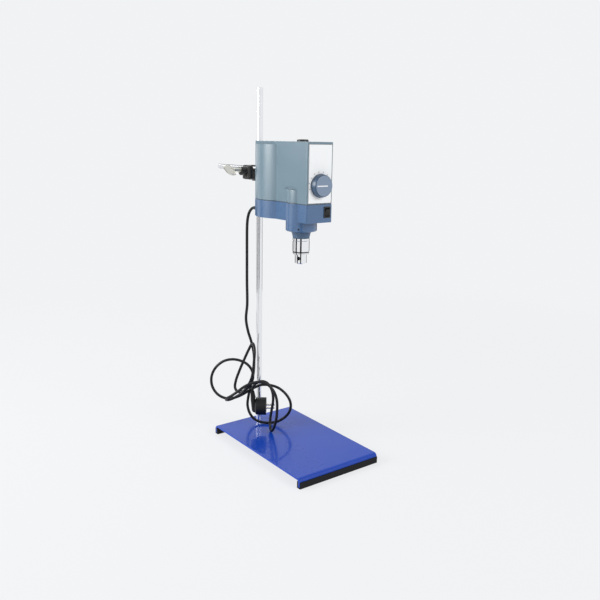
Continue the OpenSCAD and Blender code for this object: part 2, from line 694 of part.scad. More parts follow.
module chuck_sleeve() {
  // turning sleeve with the key ring's teeth on its lower rim
  color([0.88, 0.89, 0.91]) translate([sx, sy, sleeve_low]) difference() {
    union() {
      translate([0, 0, 3.4]) cylinder(d = sleeve_d - 1.4, h = 3);
      translate([0, 0, 5.8]) cylinder(d = sleeve_d, h = sleeve_len - 6.6);
      translate([0, 0, sleeve_len - 0.8]) cylinder(d1 = sleeve_d, d2 = sleeve_d - 1.2, h = 0.7);
      cylinder(d1 = nose_d + 3, d2 = sleeve_d, h = 2.6);
      translate([0, 0, 2.6]) cylinder(d = sleeve_d, h = 1);
    }
    translate([0, 0, -1]) cylinder(r = core_r + fit, h = sleeve_len + 2);
    for (i = [0:key_teeth - 1]) rotate([0, 0, i * 360 / key_teeth]) translate([sleeve_d / 2, 0, -0.6])
      rotate([0, -38, 0]) cube([12, 1.5, 2.2], center = true);
  }
}
module chuck_jaw(i) {
  color([0.60, 0.61, 0.63]) intersection() {
    on_jaw(i) translate([0, 0, -4]) cylinder(r = jaw_r, h = jaw_len + 8);
    translate([sx, sy, jaw_tip]) rotate([0, 0, key_az + 60 + i * 120]) linear_extrude(height = jaw_len)
      difference() {
        intersection() {
          polygon([[0.4, 0], [14, -13.6 * tan(50)], [14, 13.6 * tan(50)]]);
          circle(r = 9.4);
        }
        circle(r = grip_r);
      }
  }
}
module chuck_jaw_1() { chuck_jaw(0); }
module chuck_jaw_2() { chuck_jaw(1); }
module chuck_jaw_3() { chuck_jaw(2); }

// Power cord
relief_end = back_y + relief_len;
module cable_gland() {
  color([0.07, 0.07, 0.08]) translate([gland_x, back_y, gland_z]) rotate([-90, 0, 0]) difference() {
    union() {
      translate([0, 0, -wall - 2]) cylinder(r = gland_r, h = wall + 3);
      translate([0, 0, -wall - 4]) cylinder(r = gland_r + 1, h = 3.6);
      translate([0, 0, 0.4]) cylinder(r = gland_r + 2.5, h = 3);
      translate([0, 0, 3.4]) cylinder(r1 = gland_r + 0.6, r2 = cord_d / 2 + 1, h = relief_len - 3.4);
    }
    for (i = [0:3]) translate([0, 0, 7 + i * 4.4]) rotate([0, 0, i * 90])
      translate([6.8, 0, 0]) cube([6, 20, 1.6], center = true);
  }
}
// The tangle hangs in an upright plane turned 37 degrees to the plate:
// s runs along it to the right, d is the depth behind it
function hang(s, z, d) = [-20 + 0.8 * s + 0.6 * d, plate_y + 100 - 0.6 * s + 0.8 * d, z];
cord_route = concat(
  [[-36, 46, 510], [-36, 52, 509.5], [-36, 60, 506], [-37, 67, 498], [-38, 71, 486], [-39, 72, 470],
   [-40, 71, 440], [-40, 71, 400], [-40, 71, 350]],
  [for (p = [
    [-28, 300, 4], [-31, 265, 9], [-27, 235, 16], [-20, 208, 23], [-15, 182, 25], [-14, 156, 24],
    [-16, 130, 22], [-21, 106, 20], [-26, 84, 16], [-28, 62, 14], [-22, 42, 12], [-10, 29, 10],
    [6, 24, 8], [24, 24, 6], [40, 28, 4], [54, 37, 2], [65, 50, 0], [70, 66, -1], [67, 82, 0],
    [57, 96, 3], [44, 106, 6], [30, 111, 9], [14, 112, 13], [0, 110, 15], [-12, 105, 13],
    [-25, 99, 8], [-40, 91, 3], [-56, 85, 0], [-74, 83, 0], [-92, 90, 2], [-104, 105, 3],
    [-108, 123, 3], [-105, 141, 2], [-95, 158, 0], [-79, 171, -2], [-60, 176, -4], [-42, 173, -4],
    [-27, 164, -2], [-17, 149, 0], [-15, 131, 0], [-22, 115, -2], [-34, 103, -2], [-46, 98, 1],
    [-55, 105, 6], [-54, 121, 9], [-47, 142, 12], [-39, 162, 13], [-31, 181, 13], [-23, 199, 11],
    [-17, 211, 2], [-13, 212, -10], [-10, 200, -21], [-11, 180, -25], [-13, 158, -24],
    [-17, 138, -21], [-25, 120, -18], [-37, 104, -16], [-51, 93, -15], [-64, 88, -19],
    [-71, 91, -30], [-69, 99, -42], [-59, 108, -51], [-45, 119, -53], [-30, 130, -51],
    [-14, 138, -51], [4, 142, -53], [20, 137, -55], [33, 123, -56], [40, 103, -56],
    [41, 80, -56], [39, 56, -55], [34, 36, -51], [30, 26, -43], [27, 24, -34], [25, 29, -25],
    [25, 44, -20], [28, 66, -20], [31, 90, -20], [28, 111, -19], [18, 126, -16], [4, 129, -12],
    [-9, 121, -7], [-15, 110, -3], [-16, 102, -2]]) hang(p[0], p[1], p[2])]);
function unit(v) = v / norm(v);
function tangent(p, i) = unit(p[min(len(p) - 1, i + 1)] - p[max(0, i - 1)]);
// Each ring keeps its side direction as near as it can to the last one
function sides(p, i, last) = i >= len(p) ? [] :
  let (t = tangent(p, i), n = unit(last - (last * t) * t)) concat([n], sides(p, i + 1, n));
module swept_tube(p, r, n) {
  side = sides(p, 0, [1, 0, 0]);
  pts = [for (i = [0:len(p) - 1], k = [0:n - 1])
    let (t = tangent(p, i), u = side[i], v = cross(t, u))
      p[i] + r * (cos(k * 360 / n) * u + sin(k * 360 / n) * v)];
  faces = concat([[for (k = [0:n - 1]) k]],
    [for (i = [0:len(p) - 2], k = [0:n - 1])
      [i * n + k, (i + 1) * n + k, (i + 1) * n + (k + 1) % n, i * n + (k + 1) % n]],
    [[for (k = [n - 1:-1:0]) (len(p) - 1) * n + k]]);
  polyhedron(points = pts, faces = faces, convexity = 10);
}
module power_cord() { color([0.06, 0.06, 0.07]) swept_tube(cord_route, cord_d / 2, 8); }

// The angled plug hangs in the tangle, its pins to the right
module at_plug() { translate(hang(3, 67, -2)) rotate([0, 0, -36.87]) children(); }
module plug_body() {
  color([0.08, 0.08, 0.09]) at_plug() {
    difference() {
      rotate([0, 90, 0]) {
        translate([0, 0, -10]) cylinder(r = plug_r, h = 22);
        translate([0, 0, -13]) cylinder(r1 = plug_r - 5, r2 = plug_r, h = 3);
      }
      // earth slots above and below the face, the pins' sockets
      for (s = [-1, 1]) translate([8, 0, s * plug_r]) cube([14, 5, 5], center = true);
      at_pins() cylinder(r = plug_pin_r - 0.5, h = 20, center = true);
    }
    // slanted grip that the cord enters
    difference() {
      hull() {
        translate([-19, 0, 34.6]) cylinder(r = cord_d / 2 + 1.4, h = 0.4, $fn = 24);
        translate([-17, 0, 14]) cylinder(r = 6, h = 1, $fn = 24);
        translate([-13, 0, -8]) sphere(r = 7.5, $fn = 24);
      }
      translate([-12.9, -20, -40]) cube([40, 40, 60]);
    }
  }
}
plug_r = 19.5;
plug_pin_r = 2.4;
module at_pins() { for (y = [-9.5, 9.5]) translate([12, y, 0]) rotate([0, 90, 0]) children(); }
module plug_pins() {
  color([0.80, 0.80, 0.78]) at_plug() at_pins() {
    translate([0, 0, -10]) cylinder(r = plug_pin_r - 0.5, h = 10);
    cylinder(r = plug_pin_r, h = 18);
    translate([0, 0, 18]) cylinder(r1 = plug_pin_r, r2 = plug_pin_r - 1, h = 1);
  }
}

base_plate();
front_foot();
rear_foot();
foot_screws();
stand_rod();
rod_washer();
rod_nut();
boss_head();
rod_wing_screw();
arm_wing_screw();
support_arm();
arm_lock_nut();
upper_housing();
lower_housing();
housing_screws();
front_panel();
speed_knob();
knob_pointer();
potentiometer();
control_shaft();
switch_frame();
switch_rocker();
shaft_cap();
chassis_plate();
motor_can();
motor_end_cap();
motor_shaft();
motor_wheel();
drive_belt();
spindle_wheel();
spindle();
upper_bearing();
lower_bearing();
circuit_board();
board_parts();
board_posts();
nose_cone();
neck_set_screw();
chuck_body();
chuck_sleeve();
chuck_jaw_1();
chuck_jaw_2();
chuck_jaw_3();
cable_gland();
power_cord();
plug_body();
plug_pins();
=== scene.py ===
"""Overhead laboratory stirrer on its plate stand: finishes, cord, marks, studio."""
import json
import math

import bmesh
import bpy
from mathutils import Matrix, Vector


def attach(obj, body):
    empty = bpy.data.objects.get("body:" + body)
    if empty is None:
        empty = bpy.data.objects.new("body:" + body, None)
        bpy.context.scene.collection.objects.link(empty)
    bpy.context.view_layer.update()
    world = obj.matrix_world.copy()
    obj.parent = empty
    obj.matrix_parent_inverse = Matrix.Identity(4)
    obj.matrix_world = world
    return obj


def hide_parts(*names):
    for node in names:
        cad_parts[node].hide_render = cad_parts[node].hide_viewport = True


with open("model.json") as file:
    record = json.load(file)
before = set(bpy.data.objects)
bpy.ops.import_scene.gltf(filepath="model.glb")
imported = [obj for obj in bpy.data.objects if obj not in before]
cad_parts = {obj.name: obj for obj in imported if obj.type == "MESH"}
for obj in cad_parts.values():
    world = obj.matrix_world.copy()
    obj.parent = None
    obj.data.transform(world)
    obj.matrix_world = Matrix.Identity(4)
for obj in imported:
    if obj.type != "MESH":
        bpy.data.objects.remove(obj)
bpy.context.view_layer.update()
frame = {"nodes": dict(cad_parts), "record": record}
nodes = frame["nodes"]
BODY_OF = {node: body for body, group in frame["record"]["behaviour"]["bodies"].items()
           for node in group}

MM = 0.001


def new_object(name, data):
    """A new object at the origin that holds this data."""
    new = bpy.data.objects.new(name, data)
    bpy.context.scene.collection.objects.link(new)
    return new


def settle(piece, body):
    """Puts a finished piece on its body."""
    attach(piece, body)


def box_of(node):
    """A node's lowest and highest corner, in metres."""
    points = [v.co for v in nodes[node].data.vertices]
    return (Vector([min(p[i] for p in points) for i in range(3)]),
            Vector([max(p[i] for p in points) for i in range(3)]))


# Camera
# The photograph's own viewpoint, fitted to the plate, rod and housing
LENS, SENSOR = 41.44, 36.0                    # millimetres
LOOKS_FROM = (-0.8285, -1.1637, 0.6477)       # metres
TURN, DOWN, ROLL = -37.068, 12.998, 1.008     # degrees


def aim_camera():
    """Stands the camera where the photograph was taken from."""
    data = bpy.data.cameras.new("camera")
    data.sensor_width = SENSOR
    data.lens = LENS
    data.clip_start, data.clip_end = 0.05, 90.0
    cam = new_object("camera", data)
    turn, down, roll = map(math.radians, (TURN, DOWN, ROLL))
    ahead = Vector((-math.sin(turn) * math.cos(down), math.cos(turn) * math.cos(down), -math.sin(down)))
    right = Vector((math.cos(turn), math.sin(turn), 0.0))
    above = right.cross(ahead)
    right, above = (math.cos(roll) * right + math.sin(roll) * above,
                    math.cos(roll) * above - math.sin(roll) * right)
    stand = Matrix((right, above, -ahead)).transposed().to_4x4()
    stand.translation = Vector(LOOKS_FROM)
    cam.matrix_world = stand
    bpy.context.scene.camera = cam


# Finishes
SMUDGES = 14.0             # how fine the broad smudges are, in waves for each metre
SMUDGE_FROM, SMUDGE_TO = 0.3, 0.7      # where the smudges' noise starts and stops to change the gloss
GRAIN_DEPTH = 0.4 * MM


def finish(name, color, rough=0.4, metal=0.0, coat=0.0, coat_rough=0.05, spread=0.04,
           grain=900.0, bump=0.02, smudge=0.06, streak=None, spec=0.5):
    """A procedural finish: fine grain in the bump, soft smudges in colour and roughness."""
    mat = bpy.data.materials.new(name)
    mat.use_nodes = True
    t = mat.node_tree
    shader = t.nodes["Principled BSDF"]
    shader.inputs["Metallic"].default_value = metal
    shader.inputs["Coat Weight"].default_value = coat
    shader.inputs["Coat Roughness"].default_value = coat_rough
    shader.inputs["Specular IOR Level"].default_value = spec
    where = t.nodes.new("ShaderNodeTexCoord")
    place = t.nodes.new("ShaderNodeMapping")
    t.links.new(where.outputs["Object"], place.inputs["Vector"])
    if streak:
        place.inputs["Scale"].default_value = streak
    fine = t.nodes.new("ShaderNodeTexNoise")
    fine.inputs["Scale"].default_value = grain
    fine.inputs["Detail"].default_value = 4.0
    t.links.new(place.outputs["Vector"], fine.inputs["Vector"])
    broad = t.nodes.new("ShaderNodeTexNoise")
    broad.inputs["Scale"].default_value = SMUDGES
    broad.inputs["Detail"].default_value = 5.0
    t.links.new(where.outputs["Object"], broad.inputs["Vector"])
    tint = t.nodes.new("ShaderNodeMix")
    tint.data_type = "RGBA"
    tint.inputs["A"].default_value = (*[c * (1.0 - spread) for c in color], 1.0)
    tint.inputs["B"].default_value = (*[min(1.0, c * (1.0 + spread)) for c in color], 1.0)
    t.links.new(broad.outputs["Fac"], tint.inputs["Factor"])
    t.links.new(tint.outputs["Result"], shader.inputs["Base Color"])
    gloss = t.nodes.new("ShaderNodeMapRange")
    gloss.inputs["From Min"].default_value = SMUDGE_FROM
    gloss.inputs["From Max"].default_value = SMUDGE_TO
    gloss.inputs["To Min"].default_value = max(0.02, rough - smudge)
    gloss.inputs["To Max"].default_value = min(1.0, rough + smudge)
    t.links.new(broad.outputs["Fac"], gloss.inputs["Value"])
    t.links.new(gloss.outputs["Result"], shader.inputs["Roughness"])
    relief = t.nodes.new("ShaderNodeBump")
    relief.inputs["Strength"].default_value = bump
    relief.inputs["Distance"].default_value = GRAIN_DEPTH
    t.links.new(fine.outputs["Fac"], relief.inputs["Height"])
    t.links.new(relief.outputs["Normal"], shader.inputs["Normal"])
    return mat


def repaint(mat, color, where, metal=None):
    """Lays a second colour, and metal, over a finish where the mask built by where(tree) is 1."""
    t = mat.node_tree
    shader = t.nodes["Principled BSDF"]
    mask = where(t)
    below = shader.inputs["Base Color"].links[0].from_socket
    over = t.nodes.new("ShaderNodeMix")
    over.data_type = "RGBA"
    over.inputs["B"].default_value = (*color, 1.0)
    t.links.new(mask, over.inputs["Factor"])
    t.links.new(below, over.inputs["A"])
    t.links.new(over.outputs["Result"], shader.inputs["Base Color"])
    if metal is not None:
        sheen = t.nodes.new("ShaderNodeMapRange")
        sheen.inputs["To Min"].default_value = shader.inputs["Metallic"].default_value
        sheen.inputs["To Max"].default_value = metal
        t.links.new(mask, sheen.inputs["Value"])
        t.links.new(sheen.outputs["Result"], shader.inputs["Metallic"])


def compare(t, value, operation, limit):
    """1 where a value is less or greater than a limit, as the operation says."""
    test = t.nodes.new("ShaderNodeMath")
    test.operation = operation
    test.inputs[1].default_value = limit
    t.links.new(value, test.inputs[0])
    return test.outputs[0]


FACES_FRONT = -0.9         # a face whose normal has less than this along Y looks to the panel's side


def on_front(t):
    """1 on faces that look to the panel's side."""
    split = t.nodes.new("ShaderNodeSeparateXYZ")
    t.links.new(t.nodes.new("ShaderNodeTexCoord").outputs["Normal"], split.inputs[0])
    return compare(t, split.outputs["Y"], "LESS_THAN", FACES_FRONT)


def within(axis, radius, above):
    """1 nearer than radius to an upright axis, over the height above."""
    def mask(t):
        where = t.nodes.new("ShaderNodeTexCoord").outputs["Object"]
        flat = t.nodes.new("ShaderNodeMapping")
        flat.inputs["Location"].default_value = (-axis.x, -axis.y, 0.0)
        flat.inputs["Scale"].default_value = (1.0, 1.0, 0.0)
        t.links.new(where, flat.inputs["Vector"])
        away = t.nodes.new("ShaderNodeVectorMath")
        away.operation = "LENGTH"
        t.links.new(flat.outputs["Vector"], away.inputs[0])
        split = t.nodes.new("ShaderNodeSeparateXYZ")
        t.links.new(where, split.inputs[0])
        both = t.nodes.new("ShaderNodeMath")
        both.operation = "MULTIPLY"
        t.links.new(compare(t, away.outputs["Value"], "LESS_THAN", radius), both.inputs[0])
        t.links.new(compare(t, split.outputs["Z"], "GREATER_THAN", above), both.inputs[1])
        return both.outputs[0]
    return mask


def under(height):
    """1 below a height."""
    def mask(t):
        split = t.nodes.new("ShaderNodeSeparateXYZ")
        t.links.new(t.nodes.new("ShaderNodeTexCoord").outputs["Object"], split.inputs[0])
        return compare(t, split.outputs["Z"], "LESS_THAN", height)
    return mask


# Where each patch of painted shade ends, in millimetres
SEAM_SHADE = 1.25           # height of the painted shade in the seam's recess, on the upper housing's lower edge
GROOVE_DEEP = 0.4          # the sleeve is painted dark, as shade in its grooves, where it lies deeper than this
SLEEVE_RIM = 0.4           # height of its lower rim, which stays bright
KEY_HOLE_FROM = 11.2       # the body's key holes are painted dark, as shade, nearer to the axis than this
BODY_MOUTH = 4             # height of the body's mouth, which stays bright


def paint_shade_and_highlight(finishes):
    """Painted light: the knob's face painted paler as a highlight, and painted shade in the seam's
    recess and in the chuck's grooves and holes.
    """
    seam_top = box_of("upper_housing")[0].z + SEAM_SHADE * MM
    # painted shade: the upper housing's recess at the seam is painted dark
    repaint(finishes["grey_shell"], (0.030, 0.045, 0.060), under(seam_top))
    # painted highlight: the knob's faces that look to the front are painted paler
    repaint(finishes["knob_body"], (0.190, 0.250, 0.345), on_front)
    low, high = box_of("chuck_sleeve")
    axis = (low + high) / 2
    # painted shade: the sleeve's grooves are painted near black
    grooves = within(axis, (high.x - low.x) / 2 - GROOVE_DEEP * MM, low.z + SLEEVE_RIM * MM)
    repaint(finishes["sleeve_chrome"], (0.035, 0.035, 0.040), grooves)
    # painted shade: the body's key holes are painted near black and not metal
    holes = within(axis, KEY_HOLE_FROM * MM, box_of("chuck_body")[0].z + BODY_MOUTH * MM)
    repaint(finishes["chuck_chrome"], (0.006, 0.006, 0.007), holes, metal=0.0)


# Each finish: its colour, how rough it is, and what sets it apart from plain plastic
LOOKS = {
    "blue_enamel": dict(color=(0.003, 0.050, 0.40), rough=0.30, coat=0.36, coat_rough=0.02, bump=0.03,
                        grain=260.0, spread=0.03, spec=0.2),
    "grey_shell": dict(color=(0.130, 0.202, 0.247), rough=0.32, coat=0.60, coat_rough=0.28,
                       grain=1500.0, bump=0.05, spread=0.03),
    "blue_shell": dict(color=(0.050, 0.118, 0.245), rough=0.27, coat=0.80, coat_rough=0.28,
                       grain=1500.0, bump=0.05, spread=0.03),
    "collar_paint": dict(color=(0.070, 0.116, 0.188), rough=0.38, spec=0.25, grain=1200.0, bump=0.05),
    "white_panel": dict(color=(0.86, 0.87, 0.875), rough=0.38, grain=700.0, bump=0.015, spread=0.01),
    "panel_rim": dict(color=(0.050, 0.060, 0.080), rough=0.45, grain=700.0, bump=0.02),
    "polished_rod": dict(color=(0.86, 0.87, 0.89), rough=0.10, metal=1.0, smudge=0.04,
                         streak=(1.0, 1.0, 0.02), grain=1400.0, bump=0.006, spread=0.02),
    "polished_arm": dict(color=(0.84, 0.85, 0.87), rough=0.12, metal=1.0, smudge=0.04,
                         streak=(1.0, 0.02, 1.0), grain=1400.0, bump=0.006, spread=0.02),
    "chuck_chrome": dict(color=(0.90, 0.91, 0.92), rough=0.07, metal=1.0, smudge=0.03,
                         streak=(1.0, 1.0, 6.0), grain=500.0, bump=0.012, spread=0.02),
    "sleeve_chrome": dict(color=(0.90, 0.91, 0.92), rough=0.07, metal=1.0, smudge=0.03,
                          streak=(1.0, 1.0, 6.0), grain=500.0, bump=0.012, spread=0.02),
    "jaw_steel": dict(color=(0.42, 0.42, 0.43), rough=0.30, metal=1.0, grain=900.0, bump=0.05),
    "zinc_screws": dict(color=(0.62, 0.63, 0.65), rough=0.30, metal=1.0, grain=700.0, bump=0.06,
                        spread=0.08),
    "wing_nickel": dict(color=(0.62, 0.61, 0.56), rough=0.22, metal=1.0, grain=320.0, bump=0.12,
                        spread=0.10, smudge=0.10),
    "cast_boss": dict(color=(0.060, 0.058, 0.056), rough=0.30, metal=0.85, grain=420.0, bump=0.35,
                      spread=0.35, smudge=0.14),
    "dark_steel": dict(color=(0.10, 0.10, 0.11), rough=0.40, metal=1.0, grain=800.0, bump=0.06),
    "knob_body": dict(color=(0.036, 0.075, 0.135), rough=0.36, grain=1100.0, bump=0.08, spread=0.05),
    "pointer_white": dict(color=(0.86, 0.87, 0.88), rough=0.5, grain=900.0, bump=0.03),
    "black_plastic": dict(color=(0.008, 0.008, 0.009), rough=0.34, grain=1000.0, bump=0.06, spread=0.2),
    "rocker_gloss": dict(color=(0.006, 0.006, 0.006), rough=0.20, spec=0.3, coat=0.15, grain=900.0,
                         bump=0.02, spread=0.2),
    "foot_rubber": dict(color=(0.006, 0.006, 0.007), rough=0.62, spec=0.2, grain=800.0, bump=0.20,
                        spread=0.25),
    "cord_rubber": dict(color=(0.004, 0.004, 0.005), rough=0.36, spec=0.3, grain=600.0, bump=0.10,
                        spread=0.3),
    "plug_rubber": dict(color=(0.006, 0.006, 0.007), rough=0.44, spec=0.3, grain=800.0, bump=0.14,
                        spread=0.3),
    "plated_pins": dict(color=(0.78, 0.76, 0.70), rough=0.22, metal=1.0, grain=700.0, bump=0.03),
    "sheet_alu": dict(color=(0.60, 0.61, 0.63), rough=0.36, metal=1.0, streak=(0.1, 1.0, 1.0),
                      grain=900.0, bump=0.08),
    "motor_steel": dict(color=(0.42, 0.43, 0.45), rough=0.36, metal=1.0, grain=700.0, bump=0.06),
    "board_green": dict(color=(0.020, 0.13, 0.050), rough=0.30, coat=0.5, grain=300.0, bump=0.10,
                        spread=0.2),
    "part_blue": dict(color=(0.030, 0.040, 0.120), rough=0.35, grain=700.0, bump=0.03),
    "brass_post": dict(color=(0.62, 0.47, 0.20), rough=0.28, metal=1.0, grain=700.0, bump=0.04),
    "belt_rubber": dict(color=(0.020, 0.020, 0.020), rough=0.7, grain=700.0, bump=0.15),
    "tick_ink": dict(color=(0.085, 0.105, 0.140), rough=0.5, grain=900.0, bump=0.02),
}

# Which nodes wear each finish
WEARS = {
    "blue_enamel": ["base_plate"],
    "foot_rubber": ["front_foot", "rear_foot"],
    "zinc_screws": ["foot_screws", "rod_washer", "rod_nut", "arm_lock_nut", "control_shaft"],
    "polished_rod": ["stand_rod"],
    "polished_arm": ["support_arm"],
    "cast_boss": ["boss_head"],
    "wing_nickel": ["rod_wing_screw", "arm_wing_screw"],
    "grey_shell": ["upper_housing"],
    "blue_shell": ["lower_housing"],
    "dark_steel": ["housing_screws", "neck_set_screw"],
    "white_panel": ["front_panel"],
    "knob_body": ["speed_knob"],
    "pointer_white": ["knob_pointer"],
    "black_plastic": ["potentiometer", "switch_frame", "shaft_cap", "motor_end_cap", "motor_wheel",
                      "spindle_wheel"],
    "rocker_gloss": ["switch_rocker"],
    "sheet_alu": ["chassis_plate"],
    "motor_steel": ["motor_can", "motor_shaft", "spindle", "upper_bearing", "lower_bearing"],
    "belt_rubber": ["drive_belt"],
    "board_green": ["circuit_board"],
    "part_blue": ["board_parts"],
    "brass_post": ["board_posts"],
    "collar_paint": ["nose_cone"],
    "chuck_chrome": ["chuck_body"],
    "sleeve_chrome": ["chuck_sleeve"],
    "jaw_steel": ["chuck_jaw_1", "chuck_jaw_2", "chuck_jaw_3"],
    "plug_rubber": ["plug_body"],
    "cord_rubber": ["cable_gland", "power_cord"],
    "plated_pins": ["plug_pins"],
}


def dress(finishes):
    """Gives each node's material slots its finish."""
    for name, worn_by in WEARS.items():
        for node in worn_by:
            mats = nodes[node].data.materials
            if len(mats) == 0:
                mats.append(finishes[name])
            for i in range(len(mats)):
                mats[i] = finishes[name]


# Edges
WELD, LEVEL = 1e-6, math.radians(1.0)      # points this near are one, faces this level are one
SHARP = math.radians(32)          # an outer edge bent more than this is rounded
# Outer and inner corners bent more than these keep a crisp line in the light
CRISP_OUT, CRISP_IN = math.radians(50), math.radians(16)
STRAIGHT_ON = -0.87               # below this product of their directions, two edges run on as one
# How far each piece's moulded, cast or folded edges are rounded, in millimetres
ROUNDED = {"upper_housing": 0.7, "lower_housing": 0.7, "base_plate": 0.5, "boss_head": 0.5,
           "speed_knob": 0.5, "front_foot": 0.8, "rear_foot": 0.8, "shaft_cap": 0.4,
           "switch_frame": 0.3, "switch_rocker": 0.3, "front_panel": 0.12, "cable_gland": 0.3}


def way_along(edge, vert):
    """The direction in which an edge leaves one of its ends."""
    return (edge.other_vert(vert).co - vert.co).normalized()


def free_edges(bm):
    """The sharp outer edges, without the curves that run into an inner corner, such as a boss's top."""
    bent = [e for e in bm.edges if len(e.link_faces) == 2 and e.calc_face_angle(0.0) > SHARP]
    inner = {v for e in bent if not e.is_convex for v in e.verts}
    outer = {e for e in bent if e.is_convex}
    left_sharp = [e for e in outer if inner.intersection(e.verts)]
    while left_sharp:
        edge = left_sharp.pop()
        if edge not in outer:
            continue
        outer.discard(edge)
        for vert in edge.verts:
            back = way_along(edge, vert)
            left_sharp += [e for e in vert.link_edges
                           if e in outer and way_along(e, vert).dot(back) < STRAIGHT_ON]
    return sorted(outer, key=lambda e: e.index)


def round_edges(name, radius):
    """A copy of a piece whose sharp outer edges are small rounds that catch the light."""
    solid = nodes[name]
    bm = bmesh.new()
    bm.from_mesh(solid.data)
    bmesh.ops.remove_doubles(bm, verts=bm.verts, dist=WELD)
    bmesh.ops.dissolve_limit(bm, angle_limit=LEVEL, verts=bm.verts, edges=bm.edges)
    bm.edges.index_update()
    bmesh.ops.bevel(bm, geom=free_edges(bm), offset=radius * MM, offset_type="OFFSET", segments=2,
                    profile=0.5, affect="EDGES", clamp_overlap=True)
    for face in bm.faces:
        face.smooth = True
    # inner corners stay crisp, so that a wall beside a boss keeps one plain light
    for edge in bm.edges:
        bend = edge.calc_face_angle(0.0)
        edge.smooth = bend < (CRISP_OUT if edge.is_convex else CRISP_IN)
    mesh = bpy.data.meshes.new(name + "_rounded")
    bm.to_mesh(mesh)
    bm.free()
    for mat in solid.data.materials:
        mesh.materials.append(mat)
    rounded = new_object(name + "_rounded", mesh)
    # large flat faces keep their own normals, so that a wall stays flat in the light
    flat = rounded.modifiers.new("flat_walls", "WEIGHTED_NORMAL")
    flat.keep_sharp = True
    flat.weight = 100
    bpy.context.view_layer.update()
    whole = rounded.evaluated_get(bpy.context.evaluated_depsgraph_get())
    rounded.data = bpy.data.meshes.new_from_object(whole)
    rounded.modifiers.clear()
    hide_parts(name)
    settle(rounded, BODY_OF[name])


# Cord
CORD_D = 0.006
# The tangle's upright plane, which faces the photograph's viewpoint: a point on it, the way along it
# and the way behind it, seen from above
TANGLE_AT, ALONG, BEHIND = (-20, 50), (0.8, -0.6), (0.6, 0.8)
# From the strain relief down behind the housing, in millimetres
DROP = [(-36, 46, 510), (-36, 52, 509.5), (-36, 60, 506), (-37, 67, 498), (-38, 71, 486),
        (-39, 72, 470), (-40, 71, 440), (-40, 71, 400), (-40, 71, 350)]
# The tangle: along its plane, height, depth behind the plane
TANGLE = [
    (-28, 300, 4), (-31, 265, 9), (-27, 235, 16), (-20, 208, 23), (-15, 182, 25), (-14, 156, 24),
    (-16, 130, 22), (-21, 106, 20), (-26, 84, 16), (-28, 62, 14), (-22, 42, 12), (-10, 29, 10),
    (6, 24, 8), (24, 24, 6), (40, 28, 4), (54, 37, 2), (65, 50, 0), (70, 66, -1), (67, 82, 0),
    (57, 96, 3), (44, 106, 6), (30, 111, 9), (14, 112, 13), (0, 110, 15), (-12, 105, 13),
    (-25, 99, 8), (-40, 91, 3), (-56, 85, 0), (-74, 83, 0), (-92, 90, 2), (-104, 105, 3),
    (-108, 123, 3), (-105, 141, 2), (-95, 158, 0), (-79, 171, -2), (-60, 176, -4), (-42, 173, -4),
    (-27, 164, -2), (-17, 149, 0), (-15, 131, 0), (-22, 115, -2), (-34, 103, -2), (-46, 98, 1),
    (-55, 105, 6), (-54, 121, 9), (-47, 142, 12), (-39, 162, 13), (-31, 181, 13), (-23, 199, 11),
    (-17, 211, 2), (-13, 212, -10), (-10, 200, -21), (-11, 180, -25), (-13, 158, -24),
    (-17, 138, -21), (-25, 120, -18), (-37, 104, -16), (-51, 93, -15), (-64, 88, -19),
    (-71, 91, -30), (-69, 99, -42), (-59, 108, -51), (-45, 119, -53), (-30, 130, -51),
    (-14, 138, -51), (4, 142, -53), (20, 137, -55), (33, 123, -56), (40, 103, -56),
    (41, 80, -56), (39, 56, -55), (34, 36, -51), (30, 26, -43), (27, 24, -34), (25, 29, -25),
    (25, 44, -20), (28, 66, -20), (31, 90, -20), (28, 111, -19), (18, 126, -16), (4, 129, -12),
    (-9, 121, -7), (-15, 110, -3), (-16, 102, -2)]


def hang(s, z, d):
    """A point of the tangle: s along its plane, z up, d behind the plane."""
    return (TANGLE_AT[0] + ALONG[0] * s + BEHIND[0] * d, TANGLE_AT[1] + ALONG[1] * s + BEHIND[1] * d, z)


def lay_cord(finishes):
    """The mains cord: one smooth curve along its route, from the strain relief to the plug."""
    route = [Vector(p) * MM for p in DROP + [hang(*p) for p in TANGLE]]
    curve = bpy.data.curves.new("mains_cord", "CURVE")
    curve.dimensions = "3D"
    curve.bevel_depth = CORD_D / 2
    curve.bevel_resolution = 4
    curve.resolution_u = 6
    curve.use_fill_caps = True
    line = curve.splines.new("BEZIER")
    line.bezier_points.add(len(route) - 1)
    for i, (point, at) in enumerate(zip(line.bezier_points, route)):
        before, after = route[max(0, i - 1)], route[min(len(route) - 1, i + 1)]
        way = (after - before).normalized()
        point.co = at
        point.handle_left_type = point.handle_right_type = "FREE"
        point.handle_left = at - way * (at - before).length / 3
        point.handle_right = at + way * (after - at).length / 3
    cord = new_object("mains_cord", curve)
    curve.materials.append(finishes["cord_rubber"])
    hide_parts("power_cord")
    settle(cord, "drive_unit")


# Printed marks
TICK_INPUTS = {"Count": ("NodeSocketInt", 11), "Radius": ("NodeSocketFloat", 24.9 * MM),
               "Start": ("NodeSocketFloat", math.radians(194.5)),
               "Sweep": ("NodeSocketFloat", math.radians(-240.0)),
               "Width": ("NodeSocketFloat", 1.0 * MM), "Length": ("NodeSocketFloat", 2.8 * MM)}
TICK_THICK = 0.2 * MM


